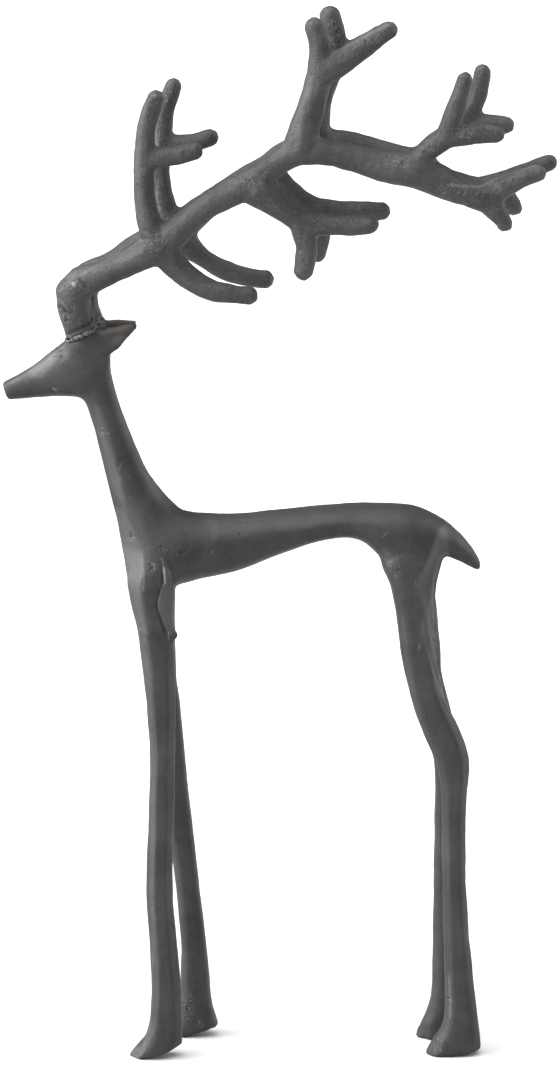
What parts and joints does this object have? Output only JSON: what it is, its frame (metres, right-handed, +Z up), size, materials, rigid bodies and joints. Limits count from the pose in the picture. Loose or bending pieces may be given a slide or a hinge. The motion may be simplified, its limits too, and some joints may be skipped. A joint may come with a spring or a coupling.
{
  "type": "stag figure",
  "caption": "Slender standing stag figure in dark cast aluminium, with long thin legs, an upright neck and large antlers swept up and back.",
  "frame": {"origin": "on the floor under the middle of the figure's box", "axes": "+Z up, the stag faces -X and its left flank is -Y"},
  "size_m": [0.2704, 0.0544, 0.5212],
  "materials": {
    "cast_body": "dark satin patina, hand finished with flat facets, pits and file marks",
    "cast_antlers": "dark satin patina, rounded, with a rough weld seam at the foot of the stem"
  },
  "bodies": {
    "root": {"stag_body": "cast_body", "antler_pair": "cast_antlers"}
  },
  "joints": []
}
